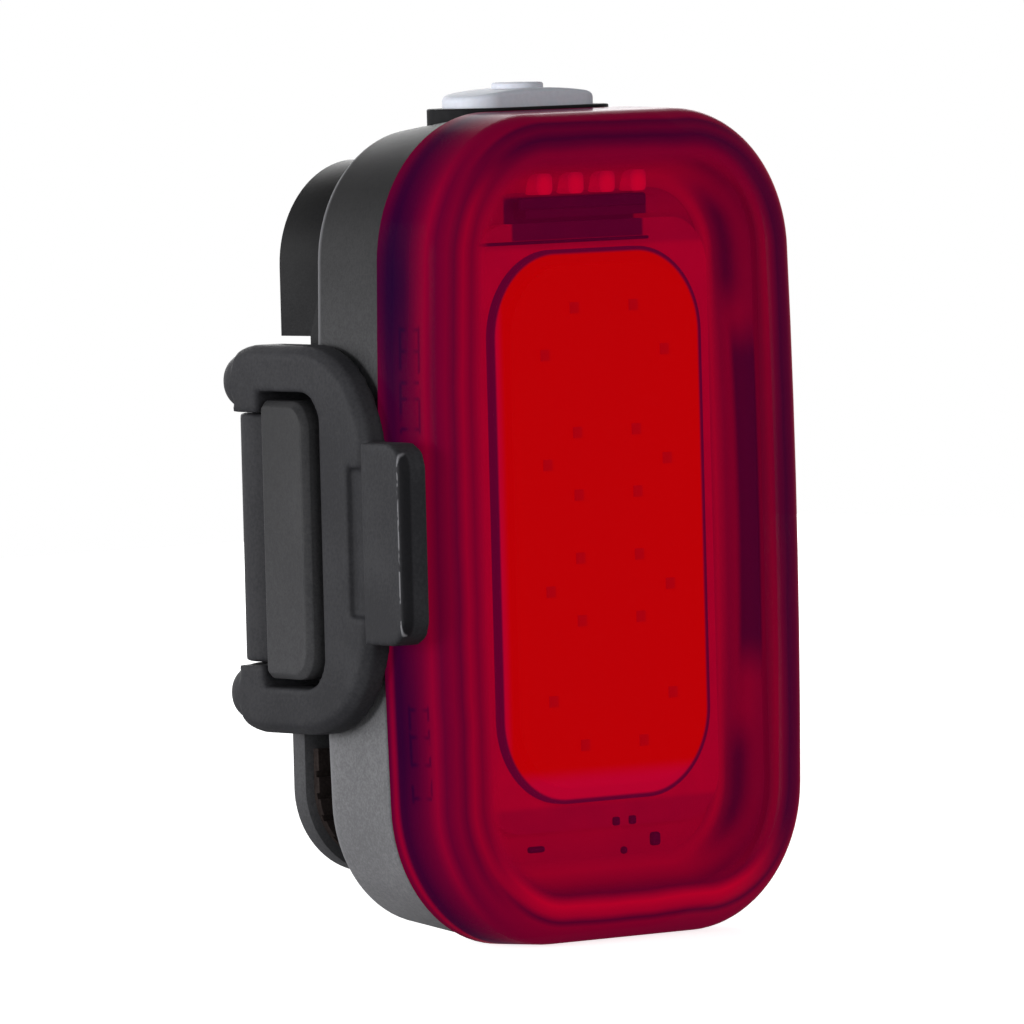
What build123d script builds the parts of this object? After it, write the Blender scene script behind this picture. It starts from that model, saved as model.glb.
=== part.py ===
from build123d import *
import math
import os

# Strap-on bicycle rear light. All lengths are millimetres.
# The origin is in the middle of the saddle's grip face, where the seatpost beds.
# +Z runs up the post, and the red lens looks along -Y, away from the post.

# Saddle on the back of the lamp
post_radius = 15.8
pad_thickness = 1.4
pad_height = 25.0
pad_half_angle = 28.0
pad_groove_radius = 0.35
pad_groove_angle = 8.0
pad_groove_count = 7
seat_wall = 2.5

# Lens cover, seen from the front
lens_width = 38.7
lens_height = 67.0
lens_corner = 12.0
side_bow_depth = 0.87
lens_depth = 7.75
lens_draft = 1.7
lens_edge_radius = 2.6
lens_wall = 1.8
body_rise = 0.4

# Main housing, a cup behind the lens
housing_depth = 9.1
housing_inset = 0.25
housing_draft = 7.5
housing_edge_radius = 1.0
housing_wall = 2.2
housing_floor = 1.5
lip_width = 1.1
lip_height = 1.6
lip_gap = 0.1
seal_inset = 0.75
seal_width = 0.8
seal_depth = 0.5

# Snap ribs inside the skirt of the lens, and the tray that they hold
snap_rib_width = 1.1
snap_rib_depth = 0.6
snap_rib_spacing = 2.4
snap_rib_length = 2.6
snap_rib_count = 4
snap_group_height = 14.5
tray_clearance = 0.8
tray_thickness = 1.0
tray_standoff = 1.6
tray_rim_height = 0.9
tray_rim_width = 1.0

# Light panel
board_margin = 1.45
board_end_margin = 2.2
board_thickness = 1.0
board_corner = 4.0
dam_width = 23.1
dam_end_gap = 11.2
dam_corner = 7.1
dam_thickness = 1.3
dam_height_step = 0.7
panel_rise = 1.5
chip_size = 0.9
chip_rise = 0.15
chip_inner_pitch = 6.5
chip_outer_pitch = 13.2
chip_inner_rows = (2.54, 7.58, 17.61)
chip_outer_rows = (5.09, 13.91)
gauge_count = 4
gauge_pitch = 3.45
gauge_size = 1.7
gauge_rise = 1.5
gauge_gap = 5.3
gauge_bar_width = 14.5
gauge_bar_height = 1.4
gauge_bar_drop = 2.0

# Electronics
spreader_margin = 1.0
spreader_thickness = 1.0
circuit_side_gap = 4.35
circuit_end_gap = 4.5
circuit_corner = 7.0
circuit_thickness = 1.0
circuit_setback = 0.5
chip_package = 5.0
chip_package_rise = 1.0
chip_package_side = -8.5
chip_package_height = -18.0
passive_length = 1.6
passive_width = 0.9
passive_rise = 0.6
passive_pitch = 2.6
passive_count = 5
passive_height = -25.5
battery_width = 23.0
battery_height = 29.0
battery_thickness = 4.2
battery_centre = 4.5
battery_edge = 1.2
battery_gap = 0.3
lead_radius = 0.45
lead_spread = 3.0
lead_run = 3.0
post_pin_radius = 1.0
post_pin_side = 13.6
post_pin_heights = (-7.0, 15.0)

# Button in the top wall
button_setback = 4.4
button_width = 14.0
button_depth = 5.8
button_corner = 2.4
button_gap = 0.15
button_top = 1.5
button_crown_drop = 0.6
button_edge = 0.5
nub_radius = 2.1
nub_rise = 0.45
frame_width = 16.8
frame_depth = 7.2
frame_corner = 3.0
frame_proud = 1.1
frame_height = 3.6
stem_radius = 1.3
press_travel = 0.6
switch_width = 6.0
switch_depth = 4.2
switch_height = 3.4
plunger_radius = 1.1
plunger_rise = 1.3
plunger_socket = 0.9
switch_gap = 0.05
plunger_drop = 0.3

# Charge port in the right side
port_centre = -16.0
socket_width = 8.9
socket_thickness = 3.2
socket_length = 7.0
socket_wall = 0.35
tongue_width = 6.7
tongue_thickness = 0.7
tongue_length = 4.6
port_margin = 0.3
flap_width = 4.8
flap_height = 14.0
flap_thickness = 0.9
flap_gap = 0.15
flap_lip = 0.5
flap_face_side = 19.5
plug_depth = 1.3
plug_gap = 0.4

# Bracket on the back of the housing
bracket_inset = 2.05
bracket_top_drop = 3.3
bracket_bottom = -15.6
bracket_depth = 5.9
bracket_corner = 8.4
bracket_edge = 1.0
bracket_wall = 1.8
channel_depth = 0.8
channel_height = 32.4
screw_side_inset = 4.5
screw_drop = 7.7
screw_radius = 1.0
screw_head_radius = 1.9
screw_head_height = 1.3
screw_sink = 2.2
screw_length = 6.6
screw_boss_radius = 2.8
socket_key_radius = 0.7
socket_key_depth = 0.8
screw_clearance = 0.15
boss_top_setback = 3.2

# Clip tongue under the bracket
tongue_plate_thickness = 1.4
tongue_setback = 0.6
tongue_sag = 1.5
tongue_end_gap = 5.9
tongue_corner = 7.2
tongue_tilt_gap = 0.35
tongue_clearance = 0.1
hinge_side = 10.4
hinge_length = 3.2
hinge_radius = 0.85
hinge_neck = 1.0
hinge_setback = 1.65
grip_thickness = 0.6
grip_inset = 0.8
grip_top_drop = 1.6
grip_rib_pitch = 1.8
grip_rib_width = 0.5
grip_rib_depth = 0.3
grip_rib_count = 4

# Rubber strap: a bend at the left rear corner, a ring over the peg, a pull tab, and a band
strap_lean = 10.0
strap_lift = 0.6
strap_thickness = 2.3
bend_inset = 0.1
bend_setback = 0.6
lug_swell = 1.3
lug_bottom = 10.2
lug_top = 15.0
lug_edge_radius = 2.3
ring_arm_height = 3.75
ring_reach = 17.6
ring_corner = 9.2
ring_rear_corner = 7.0
ring_bevel = 0.7
window_start_gap = 0.25
window_reach = 11.3
window_gap = 0.7
window_corner = 2.6
bead_reach = 14.0
recess_start = 15.0
recess_reach = 17.6
recess_height = 12.0
recess_depth = 0.6
tab_height = 16.1
tab_reach = 23.5
tab_rise = 0.3
tab_corner = 2.2
peg_start = 3.5
peg_reach = 10.3
peg_height = 22.4
peg_rise = 3.9
peg_bevel = 0.5
peg_corner = 2.2
peg_rear_corner = 0.8
peg_foot_reach = 5.6
peg_foot_depth = 1.6
peg_foot_height = 16.0
band_height = 19.4
band_thickness = 2.2
eye_gap = 0.3
pin_radius = 1.2
pin_gap = 0.05
ear_height = 3.0
ear_radius = 2.4

# One overrun serves every cut that has to pass a face
overrun = 1.0

# Ring that follows the peg it hooks over
window_height = peg_height + 2 * window_gap
ring_height = window_height + 2 * ring_arm_height

# Sizes and heights that follow the lens and the light panel
dam_height = lens_height - 2 * dam_end_gap
board_width = dam_width + 2 * board_margin
board_height = dam_height + 2 * board_end_margin
spreader_width = board_width + 2 * spreader_margin
spreader_height = board_height + 2 * spreader_margin
circuit_width = lens_width - 2 * circuit_side_gap
circuit_height = lens_height - 2 * circuit_end_gap
gauge_height = dam_height / 2 + gauge_gap
bracket_width = lens_width - 2 * bracket_inset
bracket_top = lens_height / 2 - bracket_top_drop
tongue_bottom = tongue_end_gap - lens_height / 2
screw_side = bracket_width / 2 - screw_side_inset
screw_height = bracket_top - screw_drop

# Places along Y, worked out from the post towards the lens
post_y = post_radius
seat_y = -pad_thickness
housing_back_y = seat_y - seat_wall
parting_y = housing_back_y - housing_depth
lens_front_y = parting_y - lens_depth
bracket_back_y = housing_back_y + bracket_depth
channel_y = bracket_back_y - channel_depth
floor_y = housing_back_y - housing_floor
circuit_y = parting_y + circuit_setback
circuit_back_y = circuit_y + circuit_thickness
tray_y = parting_y - tray_standoff
tray_front_y = tray_y - tray_thickness
board_y = tray_front_y - board_thickness
spreader_y = tray_y + spreader_thickness
bend_x = -(bracket_width / 2 - bend_inset)
bend_y = bracket_back_y - bend_inset + bend_setback
bend_radius = strap_lift + strap_thickness
lug_radius = bend_radius + lug_swell


def front(y):
    """Plane that looks out of the lens at the given Y, with its middle level with the lamp's."""
    return Plane(origin=(0, y, body_rise), x_dir=(1, 0, 0), z_dir=(0, -1, 0))


def back(y):
    """Plane that looks towards the post at the given Y."""
    return Plane(origin=(0, y, body_rise), x_dir=(-1, 0, 0), z_dir=(0, 1, 0))


def level(z, y=0):
    """Plane that looks up at the given height, its middle at the given Y."""
    return Plane(origin=(0, y, z), x_dir=(1, 0, 0), z_dir=(0, 0, 1))


def strap_plane():
    """Strap's own plane: X forward along the strap, Y up, Z outward, from the bend's axis."""
    lean = math.radians(strap_lean)
    along = (-math.sin(lean), -math.cos(lean), 0)
    outward = (-math.cos(lean), math.sin(lean), 0)
    return Plane(origin=(bend_x, bend_y, 0), x_dir=along, z_dir=outward)


def strap_side_plane():
    """Plane of the strap's side profile: X forward along the strap, Y outward."""
    lean = math.radians(strap_lean)
    along = (-math.sin(lean), -math.cos(lean), 0)
    return Plane(origin=(bend_x, bend_y, 0), x_dir=along, z_dir=(0, 0, -1))


def bowed(width, height, corner, bulge):
    """Upright rounded rectangle whose long sides bow out by the bulge at mid height."""
    half_w, half_h = width / 2, height / 2
    outline = Curve() + [
        Line((-half_w, -half_h), (half_w, -half_h)),
        ThreePointArc((half_w, -half_h), (half_w + bulge, 0), (half_w, half_h)),
        Line((half_w, half_h), (-half_w, half_h)),
        ThreePointArc((-half_w, half_h), (-half_w - bulge, 0), (-half_w, -half_h)),
    ]
    face = make_face(outline)
    return fillet(face.vertices(), corner)


def lamp_outline(inset):
    """Outline of the lamp, drawn in by the inset from the rim of the lens."""
    return bowed(
        lens_width - 2 * inset, lens_height - 2 * inset, lens_corner - inset, side_bow_depth
    )


def cylinder_x(radius, x0, x1, y, z):
    """Solid cylinder along X between two places."""
    circle = Plane(origin=(x0, y, z), x_dir=(0, 1, 0), z_dir=(1, 0, 0)) * Circle(radius)
    return extrude(circle, x1 - x0)


def cylinder_y(radius, x, y0, y1, z):
    """Solid cylinder along Y between two places."""
    circle = Plane(origin=(x, y0, z), x_dir=(-1, 0, 0), z_dir=(0, 1, 0)) * Circle(radius)
    return extrude(circle, y1 - y0)


def cylinder_z(radius, x, y, z0, z1):
    """Solid cylinder along Z between two heights."""
    circle = Plane(origin=(x, y, z0)) * Circle(radius)
    return extrude(circle, z1 - z0)


def block(x0, x1, y0, y1, z0, z1):
    """Solid box between two corners."""
    middle = ((x0 + x1) / 2, (y0 + y1) / 2, (z0 + z1) / 2)
    return Pos(*middle) * Box(x1 - x0, y1 - y0, z1 - z0)


def slab(face, plane, thickness):
    """A sketch laid on a plane and given a thickness along the plane's normal."""
    return extrude(plane * face, thickness)


def through(face, plane, reach):
    """A sketch laid on a plane and given a reach to both sides of it."""
    return extrude(plane * face, reach, both=True)


def lens_cover():
    """Red cover: a skirted tray with a rounded front edge and snap ribs inside its skirt."""
    shell = extrude(front(parting_y) * lamp_outline(0), lens_depth, taper=lens_draft)
    shell = fillet(shell.faces().sort_by(Axis.Y)[0].edges(), lens_edge_radius)
    hollow = extrude(
        front(parting_y) * lamp_outline(lens_wall), lens_depth - lens_wall, taper=lens_draft
    )
    cover = shell - hollow
    for side in (-1, 1):
        for group in (-1, 1):
            for rib in snap_rib_places():
                cover += snap_rib(side, group * snap_group_height + rib)
    return cover


def snap_rib_places():
    """Heights of the snap ribs of one group, about the group's middle."""
    middle = (snap_rib_count - 1) / 2
    return [(n - middle) * snap_rib_spacing for n in range(snap_rib_count)]


def skirt_inner_side(height):
    """How far out the inner wall of the lens skirt is at a height above the lamp's middle."""
    bow = side_bow_depth * (1 - (2 * height / lens_height) ** 2)
    return lens_width / 2 - lens_wall + bow


def snap_rib(side, height):
    """One rib that stands in from the inner wall of the skirt and stops short of the tray."""
    wall = skirt_inner_side(height)
    inner, outer = wall - snap_rib_depth, wall + lens_wall / 2
    low = body_rise + height - snap_rib_width / 2
    near_y = parting_y - lip_height - snap_rib_length
    far_y = parting_y - lip_height - lip_gap
    low_x, high_x = sorted((side * inner, side * outer))
    return block(low_x, high_x, near_y, far_y, low, low + snap_rib_width)


def lens_seal():
    """Rubber ring in the groove of the housing's rim."""
    ring = lamp_outline(seal_inset) - lamp_outline(seal_inset + seal_width)
    return slab(ring, back(parting_y), seal_depth)


def housing_form():
    """Outer form of the housing, drawn in towards the back."""
    form = extrude(
        back(parting_y) * lamp_outline(housing_inset), housing_depth, taper=housing_draft
    )
    return fillet(form.faces().sort_by(Axis.Y)[-1].edges(), housing_edge_radius)


def main_housing():
    """Cup behind the lens, with its rim, bosses, pins, button hole and charge port."""
    hollow = extrude(
        back(parting_y) * lamp_outline(housing_inset + housing_wall),
        housing_depth - housing_floor,
        taper=housing_draft,
    )
    cup = housing_form() - hollow
    lip_inset = lens_wall + lip_gap
    rim = lamp_outline(lip_inset) - lamp_outline(lip_inset + lip_width)
    root = slab(rim, back(parting_y), seal_depth)
    cup += slab(rim, front(parting_y), lip_height) + root
    cup -= lens_seal()
    for x in (-screw_side, screw_side):
        boss_y = parting_y + boss_top_setback
        cup += cylinder_y(screw_boss_radius, x, boss_y, floor_y, screw_height)
        cup -= cylinder_y(screw_radius, x, boss_y + lip_height, housing_back_y, screw_height)
    for x in (-post_pin_side, post_pin_side):
        for z in post_pin_heights:
            cup += cylinder_y(post_pin_radius, x, circuit_back_y, floor_y, z)
    cup -= button_frame_form()
    cup -= flap_recess()
    return cup


def button_y():
    """Place of the button along Y."""
    return parting_y + button_setback


def housing_top():
    """Height of the housing's top wall under the button."""
    fall = button_setback * math.tan(math.radians(housing_draft))
    return body_rise + lens_height / 2 - housing_inset - fall


def frame_top():
    """Height of the top face of the button's frame."""
    return housing_top() + frame_proud


def button_frame_form():
    """Outer form of the frame, which is also the hole for it."""
    outline = RectangleRounded(frame_width, frame_depth, frame_corner)
    return slab(outline, level(frame_top() - frame_height, button_y()), frame_height)


def button_frame():
    """Hard black frame round the button."""
    hole = RectangleRounded(
        button_width + 2 * button_gap, button_depth + 2 * button_gap, button_corner + button_gap
    )
    opening = slab(hole, level(frame_top() - 2 * frame_height, button_y()), 3 * frame_height)
    form = button_frame_form()
    form = fillet(form.faces().sort_by(Axis.Z)[-1].edges(), button_gap)
    return form - opening


def crown_edges(cap):
    """Edges round the cap's crowned top face."""
    face = sorted(cap.faces(), key=lambda f: f.center().Z)[-1]
    return face.edges()


def button_cap():
    """Soft cap with a crowned top, a nub for the finger and a stem for the switch."""
    low = frame_top() - frame_height + press_travel
    top = frame_top() + button_top
    outline = RectangleRounded(button_width, button_depth, button_corner)
    cap = slab(outline, level(low, button_y()), top - low)
    half = button_width / 2
    crown_radius = (half**2 + button_crown_drop**2) / (2 * button_crown_drop)
    crown = Plane(origin=(0, button_y(), top - crown_radius), z_dir=(0, 1, 0)) * Circle(crown_radius)
    cap = cap & extrude(crown, button_depth, both=True)
    cap = fillet(crown_edges(cap), button_edge)
    nub = cylinder_z(nub_radius, 0, button_y(), top - nub_rise, top + nub_rise)
    nub = fillet(nub.faces().sort_by(Axis.Z)[-1].edges(), nub_rise / 2)
    stem = cylinder_z(stem_radius, 0, button_y(), plunger_top(), low + overrun)
    return cap + nub + stem


def switch_top():
    """Height of the switch's body."""
    return plunger_top() - plunger_rise


def plunger_top():
    """Height of the plunger's top, where the cap's stem rests."""
    return frame_top() - frame_height - plunger_drop


def tact_switch():
    """Side-push switch on the back of the circuit board, with a socket for its plunger."""
    body = block(
        -switch_width / 2,
        switch_width / 2,
        circuit_back_y,
        circuit_back_y + switch_depth,
        switch_top() - switch_height,
        switch_top(),
    )
    socket = cylinder_z(
        plunger_radius + switch_gap,
        0,
        button_y(),
        switch_top() - plunger_socket - press_travel,
        switch_top() + overrun,
    )
    return body - socket


def switch_plunger():
    """Plunger of the switch."""
    return cylinder_z(
        plunger_radius, 0, button_y(), switch_top() - plunger_socket, plunger_top()
    )


def reflector_tray():
    """Moulded tray that carries the light panel, with a rim round its edge."""
    inset = lens_wall + tray_clearance
    plate = slab(lamp_outline(inset), front(tray_y), tray_thickness)
    ring = lamp_outline(inset) - lamp_outline(inset + tray_rim_width)
    rim = slab(ring, front(tray_front_y), tray_rim_height)
    bar_z = gauge_height - gauge_bar_drop
    bar = block(
        -gauge_bar_width / 2,
        gauge_bar_width / 2,
        tray_front_y - gauge_rise,
        tray_front_y,
        body_rise + bar_z - gauge_bar_height / 2,
        body_rise + bar_z + gauge_bar_height / 2,
    )
    return plate + rim + bar


def heat_spreader():
    """Aluminium plate behind the tray that takes the heat of the light panel."""
    return slab(
        RectangleRounded(spreader_width, spreader_height, board_corner),
        front(spreader_y),
        spreader_thickness,
    )


def light_board():
    """Board of the light panel."""
    return slab(
        RectangleRounded(board_width, board_height, board_corner),
        front(tray_front_y),
        board_thickness,
    )


def light_dam():
    """Raised ring round the light panel."""
    outer = RectangleRounded(dam_width, dam_height, dam_corner)
    inner = RectangleRounded(
        dam_width - 2 * dam_thickness, dam_height - 2 * dam_thickness, dam_corner - dam_thickness
    )
    return slab(outer - inner, front(board_y), dam_height_step)


def light_panel():
    """Glowing slab inside the dam, with a pocket for each chip."""
    form = RectangleRounded(
        dam_width - 2 * dam_thickness, dam_height - 2 * dam_thickness, dam_corner - dam_thickness
    )
    slab_form = slab(form, front(board_y), panel_rise)
    return slab_form - led_chips()


def chip_places():
    """Places of the chips: an inner and an outer pair in each row, mirrored up and down."""
    places = []
    for pitch, rows in ((chip_inner_pitch, chip_inner_rows), (chip_outer_pitch, chip_outer_rows)):
        for row in rows:
            for side in (-1, 1):
                places += [(side * pitch / 2, row), (side * pitch / 2, -row)]
    return places


def led_chips():
    """Chips of the light panel, sunk in its face."""
    chips = Part()
    for place in chip_places():
        square = Pos(*place) * Rectangle(chip_size, chip_size)
        start = front(board_y - panel_rise + chip_size / 2)
        chips += slab(square, start, chip_size / 2 + chip_rise)
    return chips


def gauge_leds():
    """Row of small lamps above the panel that show the charge."""
    lamps = Part()
    for n in range(gauge_count):
        x = (n - (gauge_count - 1) / 2) * gauge_pitch
        square = Pos(x, gauge_height) * RectangleRounded(gauge_size, gauge_size, gauge_size / 4)
        lamps += slab(square, front(tray_front_y), gauge_rise)
    return lamps


def circuit_board():
    """Main board behind the heat spreader."""
    return slab(
        RectangleRounded(circuit_width, circuit_height, circuit_corner),
        back(circuit_y),
        circuit_thickness,
    )


def driver_chip():
    """Controller on the back of the board."""
    square = Pos(-chip_package_side, chip_package_height) * Rectangle(chip_package, chip_package)
    return slab(square, back(circuit_back_y), chip_package_rise)


def board_passives():
    """Row of small parts on the back of the board."""
    row = Part()
    for n in range(passive_count):
        x = (n - (passive_count - 1) / 2) * passive_pitch
        small = Pos(x, passive_height) * Rectangle(passive_width, passive_length)
        row += slab(small, back(circuit_back_y), passive_rise)
    return row


def battery_front_y():
    """Front face of the cell, just behind the board."""
    return circuit_back_y + battery_gap


def battery_cell():
    """Flat pouch cell behind the board."""
    pouch = Pos(0, battery_centre) * RectangleRounded(battery_width, battery_height, battery_edge)
    cell = slab(pouch, back(battery_front_y()), battery_thickness)
    return fillet(cell.edges().filter_by(GeomType.LINE).filter_by(Axis.X), battery_gap)


def battery_foam():
    """Foam pad that holds the cell off the housing's floor."""
    start = battery_front_y() + battery_thickness
    pad = Pos(0, battery_centre) * RectangleRounded(
        battery_width - 2 * battery_edge, battery_height - 2 * battery_edge, battery_edge
    )
    return slab(pad, back(start), floor_y - start)


def battery_leads():
    """Two leads from the foot of the cell to the board."""
    foot = body_rise + battery_centre - battery_height / 2
    middle_y = battery_front_y() + battery_thickness / 2
    leads = Part()
    for side in (-1, 1):
        x = side * lead_spread / 2
        down = Line((x, middle_y, foot), (x, middle_y, foot - lead_run))
        turn = Line(
            (x, middle_y, foot - lead_run), (x, circuit_back_y + lead_radius, foot - lead_run)
        )
        for run in (down, turn):
            start = Plane(origin=run @ 0, z_dir=run % 0)
            leads += extrude(start * Circle(lead_radius), run.length)
        leads += Pos(x, middle_y, foot - lead_run) * Sphere(lead_radius)
        end_y = circuit_back_y
        leads += cylinder_y(lead_radius, x, end_y, end_y + 2 * lead_radius, foot - lead_run)
    return leads


def port_y():
    """Place of the charge port along Y."""
    return circuit_back_y + socket_thickness / 2


def flap_inner_side():
    """How far out the inner face of the flap is."""
    return flap_face_side - flap_thickness


def socket_mouth():
    """How far out the mouth of the charge socket is, just inside the housing's wall."""
    return lens_width / 2 - housing_inset - housing_wall - port_margin


def socket_plane(x):
    """Plane that looks out of the charge port at the given X."""
    return Plane(origin=(x, port_y(), port_centre), x_dir=(0, 1, 0), z_dir=(1, 0, 0))


def charge_socket():
    """Metal socket on the board, with the plate for the contacts in its middle."""
    start = socket_mouth() - socket_length
    outer = RectangleRounded(socket_thickness, socket_width, socket_thickness / 2 - socket_wall)
    bore = RectangleRounded(
        socket_thickness - 2 * socket_wall,
        socket_width - 2 * socket_wall,
        socket_thickness / 2 - 2 * socket_wall,
    )
    shell = slab(outer, socket_plane(start), socket_length)
    shell -= slab(bore, socket_plane(start + socket_wall), socket_length)
    plate = Rectangle(tongue_thickness, tongue_width)
    return shell + slab(plate, socket_plane(start), tongue_length + socket_wall)


def flap_bottom():
    """Height of the flap's lower end."""
    return port_centre - flap_height / 2


def flap_axis_z():
    """Height of the flap's hinge."""
    return port_centre + flap_height / 2 - flap_thickness


def port_hole(margin, start, length):
    """Solid that fills the charge port's opening, drawn in or out by a margin."""
    thickness = socket_thickness + 2 * margin
    width = socket_width + 2 * margin
    hole = RectangleRounded(thickness, width, thickness / 2 - socket_wall)
    return slab(hole, socket_plane(start), length)


def flap_recess():
    """Cut in the housing's side that holds the flap, its hinge and the port's opening."""
    half = flap_width / 2 + flap_gap
    pocket = block(
        flap_inner_side(),
        flap_face_side + overrun,
        port_y() - half,
        port_y() + half,
        flap_bottom() - flap_gap,
        flap_axis_z() + flap_thickness + flap_gap,
    )
    bead = cylinder_y(
        flap_thickness + flap_gap, flap_inner_side(), port_y() - half, port_y() + half, flap_axis_z()
    )
    reach = housing_wall + port_margin
    return pocket + bead + port_hole(port_margin, flap_face_side - 2 * reach, 2 * reach)


def port_cover():
    """Rubber flap over the charge port, with its hinge bead, its plug and a finger lip."""
    half = flap_width / 2
    plate = block(
        flap_inner_side(), flap_face_side, port_y() - half, port_y() + half, flap_bottom(), flap_axis_z()
    )
    plate = fillet(plate.faces().sort_by(Axis.X)[-1].edges().filter_by(Axis.Z), flap_thickness / 3)
    bead = cylinder_y(
        flap_thickness, flap_inner_side(), port_y() - half, port_y() + half, flap_axis_z()
    )
    lip = block(
        flap_face_side - flap_thickness / 2,
        flap_face_side + flap_lip,
        port_y() - half / 2,
        port_y() + half / 2,
        flap_bottom(),
        flap_bottom() + flap_thickness,
    )
    plug = port_hole(port_margin - plug_gap, flap_inner_side() - plug_depth, plug_depth)
    return plate + bead + lip + plug


def bracket_form():
    """Outer form of the bracket's block."""
    half = bracket_width / 2
    form = block(-half, half, housing_back_y, bracket_back_y, bracket_bottom, bracket_top)
    top_edges = form.edges().filter_by(Axis.Y).group_by(Axis.Z)[-1]
    form = fillet(top_edges, bracket_corner)
    rear = form.faces().sort_by(Axis.Y)[-1].edges()
    return chamfer(rear.filter_by(lambda edge: edge.center().Z > bracket_bottom), bracket_edge / 2)


def rear_bracket():
    """Block that carries the saddle, the strap's peg and ears, and the clip tongue."""
    form = bracket_form()
    half = bracket_width / 2
    reach = channel_height / 2
    channel = block(-half, half, channel_y, bracket_back_y + overrun, -reach, reach)
    form -= channel
    form -= cylinder_z(
        post_radius + pad_thickness, 0, post_y, bracket_bottom - overrun, bracket_top + overrun
    )
    form -= cylinder_z(lug_radius + eye_gap, bend_x, bend_y, -reach, reach)
    form -= cylinder_z(bend_radius + eye_gap, -bend_x, bend_y, -reach, reach)
    pocket_low = channel_height / 2 + bracket_wall
    pocket = block(
        -half + bracket_wall,
        half - bracket_wall,
        housing_back_y,
        bracket_back_y - bracket_wall,
        pocket_low,
        bracket_top - bracket_wall,
    )
    top_edges = pocket.edges().filter_by(Axis.Y).group_by(Axis.Z)[-1]
    pocket_rise = bracket_top - bracket_wall - pocket_low
    pocket = fillet(top_edges, min(bracket_corner - bracket_wall, pocket_rise - bracket_edge))
    seat_radius = post_radius + pad_thickness + bracket_wall
    form -= pocket - cylinder_z(seat_radius, 0, post_y, pocket_low, bracket_top)
    for x in (-screw_side, screw_side):
        form += cylinder_y(
            screw_boss_radius, x, housing_back_y, bracket_back_y - bracket_wall / 2, screw_height
        )
        form -= cylinder_y(
            screw_radius + screw_clearance, x, housing_back_y, bracket_back_y, screw_height
        )
        form -= cylinder_y(
            screw_head_radius + screw_clearance,
            x,
            bracket_back_y - screw_sink,
            bracket_back_y + overrun,
            screw_height,
        )
    form -= peg_foot()
    for side in (-1, 1):
        form += anchor_ear(side)
    form -= cylinder_z(pin_radius, -bend_x, bend_y, -reach, reach)
    for side in (-1, 1):
        form -= tongue_hinge(side, tongue_clearance)
    return form


def anchor_ear(side):
    """Ear on the right side that holds one end of the strap's pin."""
    low = side * (band_height / 2 + eye_gap)
    high = side * (band_height / 2 + eye_gap + ear_height)
    z0, z1 = sorted((low, high))
    round_end = cylinder_z(ear_radius, -bend_x, bend_y, z0, z1)
    arm = block(
        bracket_width / 2 - bracket_wall - ear_radius,
        -bend_x + ear_radius,
        channel_y - 2 * ear_radius,
        bend_y,
        z0,
        z1,
    )
    return round_end + arm


def bracket_screws():
    """Screws that hold the bracket to the housing, with their key sockets."""
    screws = Part()
    for x in (-screw_side, screw_side):
        seat = bracket_back_y - screw_sink
        head = cylinder_y(screw_head_radius, x, seat, seat + screw_head_height, screw_height)
        key = cylinder_y(
            socket_key_radius,
            x,
            seat + screw_head_height - socket_key_depth,
            seat + screw_head_height,
            screw_height,
        )
        shank = cylinder_y(screw_radius, x, seat - screw_length, seat, screw_height)
        screws += head - key + shank
    return screws


def saddle_pad():
    """Rubber pad that the post beds in, with grip grooves along it."""
    low = -pad_height / 2
    outer = Circle(post_radius + pad_thickness) - Circle(post_radius)
    reach = 2 * post_radius
    spread = reach * math.tan(math.radians(pad_half_angle))
    wedge = make_face(Polyline((0, 0), (-spread, -reach), (spread, -reach), close=True))
    pad = slab(outer & wedge, level(low, post_y), pad_height)
    for n in range(pad_groove_count):
        angle = math.radians((n - (pad_groove_count - 1) / 2) * pad_groove_angle)
        x, y = post_radius * math.sin(angle), post_y - post_radius * math.cos(angle)
        pad -= cylinder_z(pad_groove_radius, x, y, low, -low)
    return pad


def peg_foot():
    """Foot of the peg, pressed into the bracket's side."""
    half = peg_foot_height / 2
    outline = Pos((peg_start + peg_foot_reach) / 2, 0) * Rectangle(
        peg_foot_reach - peg_start, 2 * half
    )
    return slab(outline, strap_plane(), strap_lift) + slab(outline, strap_plane(), -peg_foot_depth)


def strap_peg():
    """Peg on the left side that the strap's ring hooks over."""
    length = peg_reach - peg_start
    outline = Pos((peg_start + peg_reach) / 2, 0) * Rectangle(length, peg_height)
    outline = fillet(outline.vertices().group_by(Axis.X)[-1], peg_corner)
    outline = fillet(outline.vertices().group_by(Axis.X)[0], peg_rear_corner)
    plane = strap_plane()
    base = Plane(origin=plane.origin + plane.z_dir * strap_lift, x_dir=plane.x_dir, z_dir=plane.z_dir)
    head = slab(outline, base, peg_rise - strap_lift)
    face = sorted(head.faces(), key=lambda f: (f.center() - plane.origin).dot(plane.z_dir))[-1]
    head = chamfer(face.edges(), peg_bevel)
    return head + peg_foot()


def ring_plate():
    """Flat part of the ring, thicker towards the bend, before its openings are cut."""
    profile = make_face(
        Polyline(
            (0, strap_lift),
            (ring_reach, strap_lift),
            (ring_reach, bend_radius),
            (bead_reach, bend_radius),
            (0, lug_radius),
            close=True,
        )
    )
    length = ring_reach + lug_radius
    outline = Pos(ring_reach - length / 2, 0) * Rectangle(length, ring_height)
    outline = fillet(outline.vertices().group_by(Axis.X)[-1], ring_corner)
    outline = fillet(outline.vertices().group_by(Axis.X)[0], ring_rear_corner)
    plate = extrude(strap_side_plane() * profile, ring_height / 2, both=True)
    plate = plate & through(outline, strap_plane(), 2 * lug_radius)
    outer_faces = sorted(plate.faces(), key=lambda f: strap_height(f.center()))[-2:]
    rim = [edge for face in outer_faces for edge in face.edges() if is_rim(edge)]
    return chamfer(rim, ring_bevel)


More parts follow.
